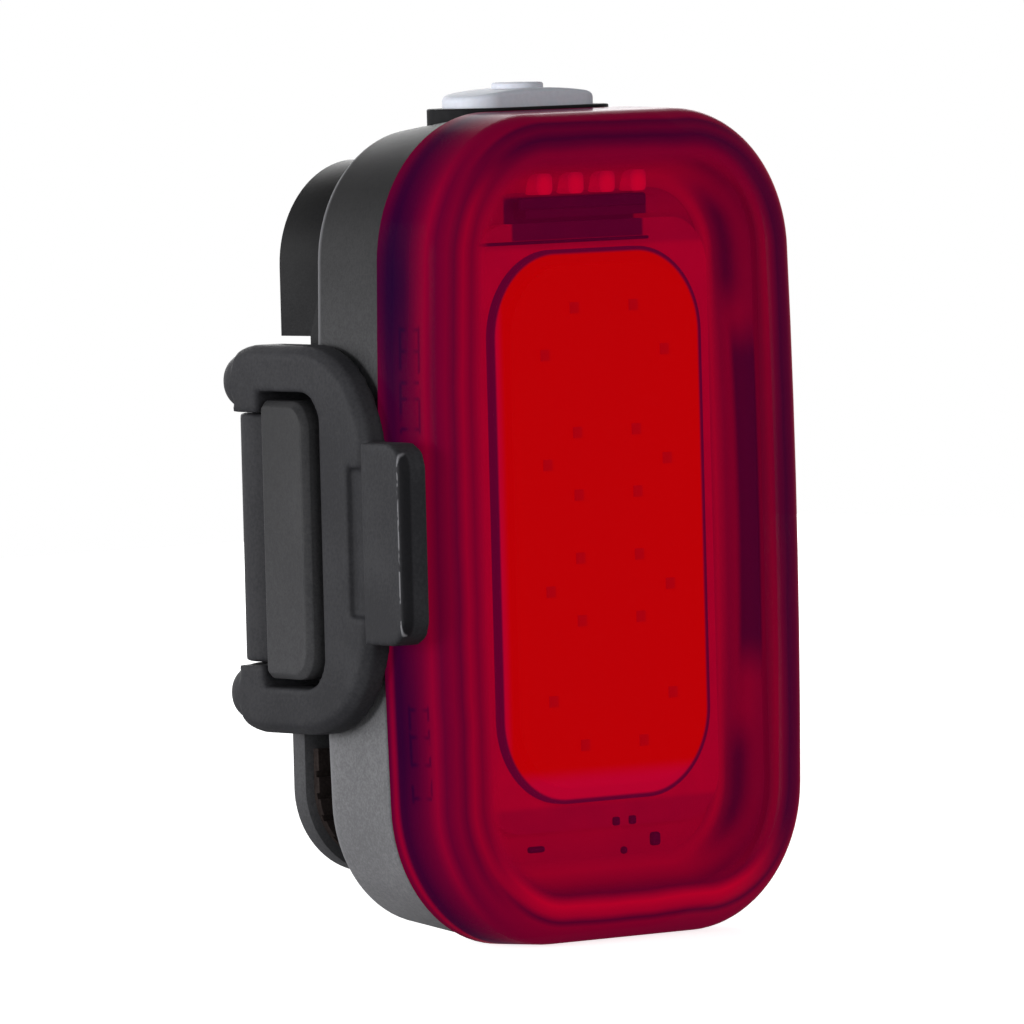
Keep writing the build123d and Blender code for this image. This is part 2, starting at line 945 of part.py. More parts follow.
def is_rim(edge):
    """Whether an edge of the ring's outer face is on its rim, ahead of the bend."""
    middle = edge.center()
    ahead = strap_run(middle) > bend_radius
    return ahead and (abs(middle.Z) > lug_bottom or strap_run(middle) > recess_start)


def strap_height(point):
    """How far out a point is from the strap's plane."""
    plane = strap_plane()
    return (point - plane.origin).dot(plane.z_dir)


def strap_run(point):
    """How far along the strap a point is from the bend."""
    plane = strap_plane()
    return (point - plane.origin).dot(plane.x_dir)


def ring_lug(side):
    """Rounded end of the ring at the bend, above or below the band."""
    low, high = sorted((side * lug_bottom, side * lug_top))
    lug = cylinder_z(lug_radius, bend_x, bend_y, low, high)
    return fillet(lug.edges().filter_by(GeomType.CIRCLE), lug_edge_radius)


def strap_ring():
    """Free end of the strap: the ring that hooks over the peg, and its pull tab."""
    plane = strap_plane()
    ring = ring_plate() + ring_lug(-1) + ring_lug(1)
    width = window_reach - bend_radius - window_start_gap
    opening = Pos(window_reach - width / 2, 0) * Rectangle(width, window_height)
    opening = fillet(opening.vertices().group_by(Axis.X)[-1], window_corner)
    ring -= through(opening, plane, 2 * lug_radius)
    gap = Rectangle(2 * (lug_radius + window_start_gap), 2 * lug_bottom)
    ring -= through(gap, plane, 2 * lug_radius)
    tab = Pos((ring_reach + tab_reach) / 2, 0) * Rectangle(tab_reach - ring_reach, tab_height)
    tab = fillet(tab.vertices().group_by(Axis.X)[-1], tab_corner)
    ring += slab(tab, plane.offset(strap_lift), strap_thickness + tab_rise)
    recess_width = recess_reach - recess_start
    recess = Pos(recess_reach - recess_width / 2, 0) * Rectangle(recess_width, recess_height)
    return ring - slab(recess, plane.offset(bend_radius - recess_depth), recess_depth + overrun)


def strap_band():
    """Fixed part of the strap: the core of the bend, the band behind the saddle, and the eye."""
    half = band_height / 2
    core = cylinder_z(bend_radius, bend_x, bend_y, -half, half)
    eye = cylinder_z(bend_radius, -bend_x, bend_y, -half, half)
    rear = bend_y + bend_radius
    band = block(bend_x, -bend_x, rear - band_thickness, rear, -half, half)
    pin = cylinder_z(pin_radius + pin_gap, -bend_x, bend_y, -half - overrun, half + overrun)
    return core + band + eye - pin


def strap_pin():
    """Pin in the bracket's ears that holds the strap's eye."""
    reach = band_height / 2 + eye_gap + ear_height
    return cylinder_z(pin_radius, -bend_x, bend_y, -reach, reach)


def tongue_axis_y():
    """Place of the tongue's bending line along Y."""
    return bracket_back_y - tongue_setback - hinge_setback


def tongue_axis_z():
    """Height of the tongue's bending line."""
    return bracket_bottom + hinge_radius / 3


def tongue_hinge(side, margin):
    """Rounded knuckle at one end of the tongue's bending line, swelled by a margin."""
    inner = hinge_side - hinge_length / 2 - margin
    outer = hinge_side + hinge_length / 2 + margin
    x0, x1 = sorted((side * inner, side * outer))
    return cylinder_x(hinge_radius + margin, x0, x1, tongue_axis_y(), tongue_axis_z())


def bent_plate(back_y, thickness, low, high):
    """Upright plate bent towards the lens in its middle, so that the tongue clears the post."""
    half = bracket_width / 2
    front_y = back_y - thickness
    section = Curve() + [
        ThreePointArc((-half, back_y), (0, back_y - tongue_sag), (half, back_y)),
        Line((half, back_y), (half, front_y)),
        ThreePointArc((half, front_y), (0, front_y - tongue_sag), (-half, front_y)),
        Line((-half, front_y), (-half, back_y)),
    ]
    return slab(make_face(section), level(low), high - low)


def tongue_outline(inset, top):
    """Block with the tongue's outline from behind, rounded at its lower corners."""
    half = bracket_width / 2 - inset
    low = tongue_bottom + inset
    form = block(-half, half, housing_back_y, bracket_back_y, low, top)
    return fillet(form.edges().filter_by(Axis.Y).group_by(Axis.Z)[0], tongue_corner - inset)


def clip_tongue():
    """Springy plate that hangs from the bracket and clips over webbing or a pocket."""
    back_y = bracket_back_y - tongue_setback
    top = bracket_bottom - tongue_tilt_gap
    tongue = bent_plate(back_y, tongue_plate_thickness, tongue_bottom, top)
    tongue = tongue & tongue_outline(0, top)
    for side in (-1, 1):
        x0, x1 = sorted(
            (side * (hinge_side - hinge_length / 2), side * (hinge_side + hinge_length / 2))
        )
        y0, y1 = tongue_axis_y() - hinge_neck / 2, tongue_axis_y() + hinge_neck / 2
        tongue += block(x0, x1, y0, y1, top - overrun, tongue_axis_z())
        tongue += tongue_hinge(side, 0)
    return tongue


def clip_grip():
    """Rubber pad on the inner face of the tongue, with grip grooves across it."""
    back_y = bracket_back_y - tongue_setback - tongue_plate_thickness
    top = bracket_bottom - grip_top_drop
    pad = bent_plate(back_y, grip_thickness, tongue_bottom, top) & tongue_outline(grip_inset, top)
    for n in range(grip_rib_count):
        z = top - (n + 1) * grip_rib_pitch
        face_y = back_y - grip_thickness + grip_rib_depth
        pad -= bent_plate(face_y, grip_rib_depth, z - grip_rib_width, z)
    return pad


pieces = [
    lens_cover,
    lens_seal,
    main_housing,
    reflector_tray,
    heat_spreader,
    light_board,
    light_dam,
    light_panel,
    led_chips,
    gauge_leds,
    circuit_board,
    driver_chip,
    board_passives,
    battery_cell,
    battery_foam,
    battery_leads,
    button_frame,
    button_cap,
    tact_switch,
    switch_plunger,
    charge_socket,
    port_cover,
    rear_bracket,
    bracket_screws,
    saddle_pad,
    strap_peg,
    strap_ring,
    strap_band,
    strap_pin,
    clip_tongue,
    clip_grip,
]

os.makedirs("parts", exist_ok=True)
for piece in pieces:
    export_step(piece(), "parts/" + piece.__name__ + ".step")
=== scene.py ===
import math

import bmesh
import bpy
from mathutils import Matrix, Vector


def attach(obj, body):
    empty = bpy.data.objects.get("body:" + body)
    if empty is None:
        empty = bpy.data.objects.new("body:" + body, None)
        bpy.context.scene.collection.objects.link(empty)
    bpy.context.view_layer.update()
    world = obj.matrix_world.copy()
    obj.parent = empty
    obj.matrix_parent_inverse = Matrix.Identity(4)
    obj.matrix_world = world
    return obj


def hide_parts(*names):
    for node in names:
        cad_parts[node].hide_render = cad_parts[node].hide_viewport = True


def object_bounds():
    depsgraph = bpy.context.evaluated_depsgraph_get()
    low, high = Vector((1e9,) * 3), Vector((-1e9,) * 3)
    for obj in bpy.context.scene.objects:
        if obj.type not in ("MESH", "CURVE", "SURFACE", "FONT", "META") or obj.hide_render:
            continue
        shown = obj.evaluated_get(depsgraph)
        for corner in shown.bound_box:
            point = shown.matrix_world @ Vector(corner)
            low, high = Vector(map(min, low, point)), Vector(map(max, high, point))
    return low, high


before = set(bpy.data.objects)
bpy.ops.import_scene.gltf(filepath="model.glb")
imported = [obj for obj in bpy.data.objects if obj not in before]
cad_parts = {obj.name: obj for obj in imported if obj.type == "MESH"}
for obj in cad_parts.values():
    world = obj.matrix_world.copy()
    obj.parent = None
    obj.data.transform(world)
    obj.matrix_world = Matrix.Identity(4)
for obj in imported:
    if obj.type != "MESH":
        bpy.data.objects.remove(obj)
cad_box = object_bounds()


# Floor and daylight. The light stands on a pale table in a white room, with a soft box at its
# left, one in front and two behind. The table and the room show as plain white, and the table
# keeps the light's shadow.
class Tone:
    """One socket of a finish, so that a pattern can be written as a sum."""

    def __init__(self, finish, socket):
        self.finish, self.socket = finish, socket

    def math(self, operation, *terms):
        """This tone, put through one operation with the terms that it takes."""
        return self.finish.node("ShaderNodeMath", {"operation": operation}, self, *terms)

    def __add__(self, other):
        return self.math("ADD", other)

    def __sub__(self, other):
        return self.math("SUBTRACT", other)

    def __rsub__(self, other):
        return self * -1 + other

    def __mul__(self, other):
        return self.math("MULTIPLY", other)

    def __truediv__(self, other):
        return self.math("DIVIDE", other)

    __radd__, __rmul__ = __add__, __mul__

    def size(self):
        """The value without its sign."""
        return self.math("ABSOLUTE")

    def most(self, other):
        """The larger of two."""
        return self.math("MAXIMUM", other)

    def least(self, other):
        """The smaller of two."""
        return self.math("MINIMUM", other)

    def step(self, low, high):
        """0 below low, 1 above high, and smooth between."""
        settings = {"interpolation_type": "SMOOTHSTEP"}
        return self.finish.node("ShaderNodeMapRange", settings, self, low, high)

    def line(self, place, width):
        """1 at a place, falling smoothly to 0 at a width from it."""
        return 1 - (self - place).size().step(0, width)


class Recipe:
    """The nodes of one material or of the room's light, all added in one way."""

    def __init__(self, tree):
        self.tree = tree

    def put(self, socket, value):
        """Links or sets one socket, and leaves it alone where there is no value."""
        if isinstance(value, Tone):
            self.tree.links.new(value.socket, socket)
        elif value is not None:
            socket.default_value = value

    def node(self, kind, settings, *values, out=0, **named):
        """Adds a node: its settings first, then its sockets by their order or by name."""
        made = self.tree.nodes.new(kind)
        for key, value in settings.items():
            if key == "stops":
                for stop, colour in value[1:-1]:
                    made.color_ramp.elements.new(stop).color = colour
                ends = made.color_ramp.elements[0], made.color_ramp.elements[-1]
                for end, (stop, colour) in zip(ends, (value[0], value[-1])):
                    end.position, end.color = stop, colour
            else:
                setattr(made, key, value)
        for index, value in enumerate(values):
            self.put(made.inputs[index], value)
        for key, value in named.items():
            self.put(made.inputs[key.replace("_", " ")], value)
        return Tone(self, made.outputs[out]) if len(made.outputs) else None


class Finish(Recipe):
    """A material with one Principled shader, whose patterns keep to the piece."""

    def __init__(self, name, **fixed):
        self.material = bpy.data.materials.new(name)
        self.material.use_nodes = True
        super().__init__(self.material.node_tree)
        self.shader = self.tree.nodes["Principled BSDF"]
        for socket, value in fixed.items():
            self.set(socket.replace("_", " "), value)
        self.place = self.node("ShaderNodeTexCoord", {}, out="Object")
        parts = self.node("ShaderNodeSeparateXYZ", {}, self.place).socket.node
        self.x, self.y, self.z = (Tone(self, parts.outputs[n]) for n in range(3))

    def set(self, socket, value):
        """Sets or links one socket of the Principled shader."""
        self.put(self.shader.inputs[socket], value)

    def mix(self, factor, first, second):
        """Colour between two colours."""
        other_kinds = (None,) * 5
        return self.node(
            "ShaderNodeMix", {"data_type": "RGBA"}, factor, *other_kinds, first, second, out=2
        )

    def noise(self, scale, detail=2.0, roughness=0.5):
        """Cloudy pattern; a larger scale is finer."""
        return self.node(
            "ShaderNodeTexNoise",
            {},
            Vector=self.place,
            Scale=scale,
            Detail=detail,
            Roughness=roughness,
        )

    def bump(self, height, strength, distance):
        """Fine relief that only the light shows."""
        relief = self.node(
            "ShaderNodeBump", {}, Strength=strength, Distance=distance, Height=height
        )
        self.set("Normal", relief)


def select_none():
    """Deselects everything, because an operator acts on all that is selected."""
    for other in list(bpy.context.selected_objects):
        other.select_set(False)


select_none()
table_width, table_z = 1.0, cad_box[0].z
bpy.ops.mesh.primitive_plane_add(size=table_width, location=(0, 0, table_z))
table = bpy.context.object
table.name = "table_top"
pale_paint = (0.82, 0.82, 0.82, 1)
white = Finish("white_table", Base_Color=pale_paint, Roughness=0.9, Specular_IOR_Level=0.0)
glow = white.node("ShaderNodeEmission", {}, pale_paint)
thin_paint = white.node("ShaderNodeBsdfDiffuse", {}, pale_paint)
both = white.node("ShaderNodeAddShader", {}, glow, thin_paint)
looked_at = white.node("ShaderNodeLightPath", {}, out="Is Camera Ray")
plain_table = Tone(white, white.shader.outputs[0])
table_shown = white.node("ShaderNodeMixShader", {}, looked_at, plain_table, both)
white.put(white.tree.nodes["Material Output"].inputs[0], table_shown)
table.data.materials.append(white.material)

room = bpy.context.scene.world or bpy.data.worlds.new("room")
bpy.context.scene.world = room
room.use_nodes = True
air = Recipe(room.node_tree)
air.tree.nodes.clear()
soft_light, white_wall = 0.13, 1.0
soft = air.node("ShaderNodeBackground", {}, (0.98, 0.99, 1.0, 1), soft_light)
wall = air.node("ShaderNodeBackground", {}, (1, 1, 1, 1), white_wall)
rays = air.node("ShaderNodeLightPath", {}).socket.node
seen, mirrored, through = (
    Tone(air, rays.outputs[f"Is {kind} Ray"]) for kind in ("Camera", "Glossy", "Transmission")
)
room_shown = air.node("ShaderNodeMixShader", {}, seen.most(mirrored).most(through), soft, wall)
air.node("ShaderNodeOutputWorld", {}, room_shown)

lamps = (
    ("left_box", (-0.72, 0.02, 0.03), 0.30, 5.0),
    ("rear_box", (-0.60, 0.62, 0.10), 0.50, 4.4),
    ("front_box", (-0.30, -0.85, 0.16), 0.45, 2.8),
    ("back_box", (0.50, 0.62, 0.34), 0.50, 3.4),
)
for name, place, width, power in lamps:
    light = bpy.data.lights.new(name, "AREA")
    light.size, light.energy = width, power
    holder = bpy.data.objects.new(name, light)
    holder.location = place
    holder.rotation_euler = Vector(place).to_track_quat("Z", "Y").to_euler()
    bpy.context.collection.objects.link(holder)

# Camera. A long lens a metre away, a little above the light and round to its left side, turned
# slightly about its own axis as the photograph is.
side_turn, tilt, roll = math.radians(-43.0), math.radians(2.78), math.radians(-1.474)
away, pixel, picture = 1.03, 0.001 / 12.365, 1024
rim_middle_across, rim_middle_down = 565.5, 523.36
to_eye = Vector(
    (math.sin(side_turn) * math.cos(tilt), -math.cos(side_turn) * math.cos(tilt), math.sin(tilt))
)
right = Vector((math.cos(side_turn), math.sin(side_turn), 0))
up = to_eye.cross(right)
level_right = right * math.cos(roll) + up * math.sin(roll)
level_up = up * math.cos(roll) - right * math.sin(roll)
rim_middle = Vector((0, -0.0130, 0.0004))
eye = rim_middle + to_eye * away
aim = rim_middle - level_right * (rim_middle_across - picture / 2) * pixel
aim += level_up * (rim_middle_down - picture / 2) * pixel
back_axis = (eye - aim).normalized()
right_axis = (level_right - back_axis * level_right.dot(back_axis)).normalized()
up_axis = back_axis.cross(right_axis)
view = bpy.data.cameras.new("eye")
view.lens = view.sensor_width * (away / pixel) / picture
view.clip_start, view.clip_end = 0.05, 20
camera = bpy.data.objects.new("eye", view)
turned = Matrix((right_axis, up_axis, back_axis)).transposed().to_4x4()
camera.matrix_world = Matrix.Translation(eye) @ turned
bpy.context.collection.objects.link(camera)
bpy.context.scene.camera = camera
bpy.context.scene.view_settings.view_transform = "Standard"


# Housing and bracket, moulded in one graphite plastic with a fine spark-eroded texture, both with
# painted shade: lighter towards the foot, darker towards the top. The housing is a cup that holds
# the battery, and the bracket is screwed to its back. The bracket's edges are softened a little by
# the mould.
def dress(node, finish):
    """Gives a CAD node its finish."""
    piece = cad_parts[node]
    piece.data.materials.clear()
    piece.data.materials.append(finish.material)


def moulded_plastic(name, dark, pale, roughness=0.5, grain=0.35, low=1.0, high=1.0):
    """Graphite plastic with a fine even texture, and painted shade: its colour is scaled by low at the
    foot and by high at the top.
    """
    finish = Finish(name, Specular_IOR_Level=0.05)
    cloud = finish.noise(90, 3)
    speck = finish.noise(5200, 2)
    fine = finish.noise(2100, 3)
    shade = (cloud * 0.35 + speck * 0.4 + fine * 0.25).step(0.36, 0.64)
    foot, reach = -26, 54
    drift = ((finish.z * 1000 - foot) / reach).most(0).least(1)
    plain_colour = finish.mix(shade, dark, pale)
    # Painted shade: lighter towards the foot, darker towards the top.
    painted_shade_scale = drift * (high - low) + low
    painted_shade_colour = finish.node("ShaderNodeVectorMath", {"operation": "SCALE"}, plain_colour, Scale=painted_shade_scale)
    finish.set("Base Color", painted_shade_colour)
    finish.set("Roughness", roughness + 0.10 * speck - 0.06 * cloud)
    finish.bump(speck * 0.6 + fine * 0.4, grain, 0.00006)
    return finish


# Painted shade: the colour is about doubled at the foot and falls to about a sixth at the top.
graphite = moulded_plastic(
    "graphite_housing_plastic",
    (0.057, 0.057, 0.060, 1),
    (0.084, 0.084, 0.088, 1),
    low=2.05,
    high=0.16,
)


def tint_over(finish, factor, colour):
    """Lays a colour over what a finish has already."""
    under = finish.shader.inputs["Base Color"].links[0].from_socket
    finish.set("Base Color", finish.mix(factor, Tone(finish, under), colour))


# Painted shadow: a dark line in the gap where the housing meets the lens, on the housing's lower part.
parting_line, rear_edge = -13.0, -4.45
gap_shadow_paint = (graphite.y * 1000).line(parting_line, 0.75) * (1 - (graphite.z * 1000).step(-14, 4))
tint_over(graphite, gap_shadow_paint * 0.85, (0.003, 0.003, 0.004, 1))
# Painted highlight: a paler line along the housing's rear edge.
rear_edge_highlight = (graphite.y * 1000).line(rear_edge, 0.5)
tint_over(graphite, rear_edge_highlight * 0.7, (0.17, 0.17, 0.18, 1))
dress("main_housing", graphite)
# Painted shade: lighter towards the foot, much darker towards the top.
bracket_plastic = moulded_plastic(
    "graphite_bracket_plastic",
    (0.038, 0.038, 0.041, 1),
    (0.058, 0.058, 0.062, 1),
    roughness=0.46,
    low=1.4,
    high=0.06,
)


def select_only(piece):
    """Makes one object the only one that is selected, and the active one."""
    select_none()
    piece.select_set(True)
    bpy.context.view_layer.objects.active = piece


def apply_modifier(piece, kind, **settings):
    """Adds one modifier and applies it."""
    added = piece.modifiers.new(kind.lower(), kind)
    for key, value in settings.items():
        setattr(added, key, value)
    select_only(piece)
    bpy.ops.object.modifier_apply(modifier=added.name)


def merged_copy(node, name):
    """Copy of a CAD node, its loose triangles merged, left in edit mode with all selected."""
    piece = bpy.data.objects.new(name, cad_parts[node].data.copy())
    bpy.context.collection.objects.link(piece)
    piece.data.materials.clear()
    select_only(piece)
    bpy.ops.object.mode_set(mode="EDIT")
    bpy.ops.mesh.select_all(action="SELECT")
    merge_within = 0.000002
    bpy.ops.mesh.remove_doubles(threshold=merge_within)
    bpy.ops.mesh.customdata_custom_splitnormals_clear()
    return piece


def softened(node, name, width, finish, body, segments=3):
    """Copy of a CAD node with its edges rounded as the mould rounds them."""
    piece = merged_copy(node, name)
    bpy.ops.mesh.dissolve_limited(angle_limit=math.radians(0.6), delimit={"NORMAL"})
    bpy.ops.object.mode_set(mode="OBJECT")
    apply_modifier(
        piece,
        "BEVEL",
        width=width,
        segments=segments,
        limit_method="ANGLE",
        angle_limit=math.radians(28),
        miter_outer="MITER_ARC",
        use_clamp_overlap=True,
    )
    select_only(piece)
    bpy.ops.object.shade_smooth_by_angle(angle=math.radians(35))
    piece.data.materials.append(finish.material)
    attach(piece, body)
    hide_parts(node)


softened("rear_bracket", "bracket_body", 0.00025, bracket_plastic, "lamp")

# Bracket screws: two small blackened screws with a round key socket, sunk in the bracket.
blackened = Finish("blackened_steel", Metallic=1.0)
oiled = blackened.mix(blackened.noise(900), (0.10, 0.10, 0.11, 1), (0.2, 0.2, 0.21, 1))
blackened.set("Base Color", oiled)
blackened.set("Roughness", 0.32 + 0.15 * blackened.noise(2600, 2))
dress("bracket_screws", blackened)

# Lens cover: clear red plastic, moulded as a deep tray 38.7 by 67 mm. Its red is painted light and
# shade: it glows by emission, and rings of lighter and darker red, painted differently on each side,
# follow the steps moulded inside its rim. Its middle is clear enough to show the light panel. The
# skirt is dark, with the snaps' ribs inside it.
green, blue = 0.0006, 0.0232
lens_finish = Finish("clear_red_lens", IOR=1.49, Specular_IOR_Level=0.002, Emission_Strength=0.7)
rim_y, middle_z = -0.0130, 0.0004


def rim_distances(finish, half_wide=0.01935, half_tall=0.0335, corner=0.012, side_bow=0.00087):
    """Millimetres inwards from a rounded outline, and how far a place is on a long side."""
    tall = finish.z - middle_z
    bow = side_bow - tall * tall * (side_bow / half_tall**2)
    out_x = finish.x.size() - bow - (half_wide - corner)
    out_z = tall.size() - (half_tall - corner)
    past_x, past_z = out_x.most(0), out_z.most(0)
    reach = (past_x * past_x + past_z * past_z).math("SQRT")
    inset = (corner - reach - out_x.most(out_z).least(0)) * 1000
    return inset, (out_x - out_z).step(-0.007, 0.007)


def bands(finish, place, stops, reach):
    """Brightness of red along a profile, from a list of places and sRGB reds."""
    shades = []
    for at, red in stops:
        linear = ((red / 255 + 0.055) / 1.055) ** 2.4
        shades.append((at / reach, (linear, linear, linear, 1)))
    return finish.node("ShaderNodeValToRGB", {"stops": shades}, place * (1 / reach))


def between(factor, first, second):
    """Tone between two tones."""
    return first * (1 - factor) + second * factor


inset, on_side = rim_distances(lens_finish)
depth = (lens_finish.y - rim_y) * -1000
drift = (lens_finish.noise(110, 2) - 0.5) * 0.7
across = inset + depth + drift
level = (lens_finish.z - middle_z) * 1000
skirt_stops = (
    (0, 100), (0.3, 96), (1.2, 62), (1.8, 58), (2.5, 72), (3.4, 86), (4.4, 98), (5.6, 132),
    (6.7, 96), (8.0, 120), (8.9, 98), (9.9, 152), (10.8, 120), (12.0, 160), (13.1, 144), (14, 160),
)
rim_reach = 14
left_band = bands(lens_finish, across, skirt_stops, rim_reach)
right_band = bands(
    lens_finish,
    across,
    skirt_stops[:7]
    + ((5.8, 98), (8.0, 150), (8.8, 108), (9.7, 84), (10.6, 70), (11.5, 118), (12.3, 150), (13.4, 165)),
    rim_reach,
)
top_band = bands(
    lens_finish,
    across,
    skirt_stops[:7]
    + ((7.6, 116), (8.1, 76), (9.0, 98), (9.9, 68), (10.5, 92), (11.1, 122), (12, 134), (14, 150)),
    rim_reach,
)
foot_band = bands(
    lens_finish,
    across,
    skirt_stops[:7]
    + ((8.3, 124), (9.0, 132), (9.6, 86), (10.2, 160), (11.0, 188), (11.9, 104), (13.2, 150), (14, 160)),
    rim_reach,
)
# Painted shadow: a darker stripe down the middle of the right side.
right_band = right_band * (1 - 0.4 * level.line(2, 16) * across.line(11.5, 1.4))
side_band = between((lens_finish.x * 1000).step(-3, 3), left_band, right_band)
end_band = between(level.step(-3, 3), foot_band, top_band)
red = between(on_side, end_band, side_band)
profile = depth + inset
on_skirt = 1 - profile.step(3.0, 4.6)
red = red * (1 - (0.62 * level.line(20, 13) + 0.35 * level.line(-16, 12)) * on_skirt)
# Painted highlight: a paler line along the lip near the rim, on the lower part.
lip_place, lip_width = 0.7, 0.6
lip_highlight = profile.line(lip_place, lip_width) * (1 - level.step(-18, 2))
red = red + 0.16 * lip_highlight
rib_levels, rib_width = (16.5, 14.8, 12.3, 11.0, 8.6, -13.8, -16.0, -18.2, -20.9), 0.3
rib_front, rib_back = 2.7, 4.9
ribs = level.line(rib_levels[0], rib_width)
for rib_level in rib_levels[1:]:
    ribs = ribs.most(level.line(rib_level, rib_width))
ribs = ribs * profile.step(rib_front - 0.1, rib_front + 0.1)
ribs = ribs * (1 - profile.step(rib_back - 0.1, rib_back + 0.1))
rib_ends = profile.line(rib_front, 0.3).most(profile.line(rib_back, 0.25))
rib_rows = level.line(12.5, 5.0).most(level.line(-17.4, 4.6)).step(0.02, 0.1)
ribs = ribs.most(rib_ends * rib_rows * lens_finish.noise(500, 1).step(0.42, 0.5))
red = red * (1 - 0.5 * ribs) + 0.05 * ribs * profile.line(4.0, 1.0)
lens_red = lens_finish.node("ShaderNodeCombineColor", {}, red, green, blue)
lens_finish.set("Emission Color", lens_red)
lens_finish.set("Base Color", lens_finish.mix(0.68, lens_red, (0, 0, 0, 1)))
outer_skin = depth.step(6.3, 6.7).most(1 - inset.step(1.0, 1.3)).most(1 - depth.step(5.5, 5.75))
at_rim, cleared = 0.97, 0.89
lens_finish.set("Alpha", outer_skin * (at_rim - cleared * inset.step(3.5, 5.1)))
lens_finish.set("Roughness", 0.14 + 0.06 * lens_finish.noise(300, 2))
lens_finish.material.surface_render_method = "BLENDED"
dress("lens_cover", lens_finish)

# Reflector bezel: a red plastic frame pressed behind the lens, 3.9 mm wide, whose inside slopes to
# the tray. Its red is painted light: it glows by emission, with rings of brightness. Its right wall,
# which faces the viewer, has a painted shadow along its middle and painted shade in its corners.
bezel_red = Finish("bezel_plastic", Roughness=0.4, Specular_IOR_Level=0.005, Emission_Strength=0.55)
bezel_inset, bezel_side = rim_distances(bezel_red)
bezel_level = (bezel_red.z - middle_z) * 1000
right_wall = bands(
    bezel_red,
    bezel_inset,
    ((2.5, 115), (3.8, 112), (4.6, 134), (5.6, 122), (6.2, 165), (6.8, 138), (7.6, 165), (9, 165)),
    9,
)
end_wall = bands(
    bezel_red,
    bezel_inset,
    ((2.5, 110), (3.4, 128), (3.9, 104), (4.6, 140), (5.6, 165), (6.8, 150), (8, 150)),
    8,
)
wall_red = between(bezel_side, end_wall, right_wall)
slot_shadow = bezel_inset.line(4.5, 1.0).step(0.2, 0.7) * (1 - (bezel_level - 1.5).size().step(11, 15.5))
corner_shade = bezel_inset.line(5.0, 1.0) * (bezel_level.size() - 22).size().step(6.5, 2.0)
wall_red = wall_red * (1 - 0.78 * slot_shadow * (bezel_red.x * 1000).step(2, 6)) * (1 - 0.72 * corner_shade)
bezel_shade = bezel_red.node("ShaderNodeCombineColor", {}, wall_red, green, blue)
bezel_red.set("Emission Color", bezel_shade)
bezel_red.set("Base Color", bezel_red.mix(0.5, bezel_shade, (0, 0, 0, 1)))
bezel_size, bezel_y, bezel_corner = (0.0338, 0.0028, 0.0617), -0.0171, 0.0094
bezel_steps = (
    (0.0003, 0.00025), (0.0006, 0), (0.0005, -0.0009),
    (0.0005, -0.0008), (0.0008, -0.0009), (0.0012, -0.0004),
)
select_none()
bpy.ops.mesh.primitive_cube_add(size=1, location=(0, 0, 0))
bezel = bpy.context.object
bezel.name = "reflector_bezel"
bpy.ops.object.mode_set(mode="EDIT")
bpy.ops.mesh.select_all(action="SELECT")
bpy.ops.transform.resize(value=bezel_size)
bpy.ops.transform.translate(value=(0, bezel_y, middle_z))
bpy.ops.mesh.select_mode(type="EDGE")
bpy.ops.mesh.select_all(action="DESELECT")
shape = bmesh.from_edit_mesh(bezel.data)
for edge in shape.edges:
    edge.select_set(abs(edge.verts[0].co.y - edge.verts[1].co.y) > 0.001)
bmesh.update_edit_mesh(bezel.data)
bpy.ops.mesh.bevel(
    offset=bezel_corner, offset_type="OFFSET", segments=14, profile=0.5, affect="EDGES"
)
bpy.ops.mesh.select_mode(type="FACE")
bpy.ops.mesh.select_all(action="DESELECT")
shape = bmesh.from_edit_mesh(bezel.data)
for face in shape.faces:
    face.select_set(face.normal.y > 0.9)
bmesh.update_edit_mesh(bezel.data)
bpy.ops.mesh.delete(type="FACE")
shape = bmesh.from_edit_mesh(bezel.data)
for face in shape.faces:
    face.select_set(face.normal.y < -0.9)
bmesh.update_edit_mesh(bezel.data)
for thickness, sink in bezel_steps:
    bpy.ops.mesh.inset(thickness=thickness, depth=sink, use_even_offset=True)
bpy.ops.mesh.delete(type="FACE")
bpy.ops.object.mode_set(mode="OBJECT")
select_only(bezel)
bpy.ops.object.shade_smooth_by_angle(angle=math.radians(40))
bezel.data.materials.append(bezel_red.material)
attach(bezel, "lamp")

# Reflector tray, behind the bezel: pressed red-lit plastic with a rim, a dark shade under the four
# charge lamps, a raised line along its top, and the board's small parts at its foot. Its red is
# painted light: it glows by emission, lighter and darker by height.
crimson = Finish("lit_tray_plastic", Roughness=0.42, Specular_IOR_Level=0.005, Emission_Strength=0.55)
tray_level = (crimson.z - middle_z) * 1000
tray_cloud = crimson.noise(160, 2)
tray_foot, tray_reach = -33, 66
tray_stops = (
    (0, 128), (5, 150), (8, 158), (10, 146), (11, 168), (30, 160),
    (54, 152), (56, 120), (58, 142), (61, 128), (66, 112),
)
tray_red = bands(crimson, tray_level - tray_foot, tray_stops, tray_reach)
bar_middle, bar_half = -1.2, 7.0
bar_side = 1 - (crimson.x * 1000 - bar_middle).size().step(bar_half, bar_half + 0.3)
bar_front = tray_level.step(23.9, 24.2) * (1 - tray_level.step(26.4, 26.8)) * bar_side
tray_red = tray_red * (1 - 0.70 * bar_front) * (0.9 + 0.2 * tray_cloud)
tray_shade = crimson.node("ShaderNodeCombineColor", {}, tray_red, green, blue)
crimson.set("Emission Color", tray_shade)
crimson.set("Base Color", crimson.mix(0.5, tray_shade, (0, 0, 0, 1)))
crimson.bump(crimson.noise(1500, 2), 0.15, 0.00005)
dress("reflector_tray", crimson)

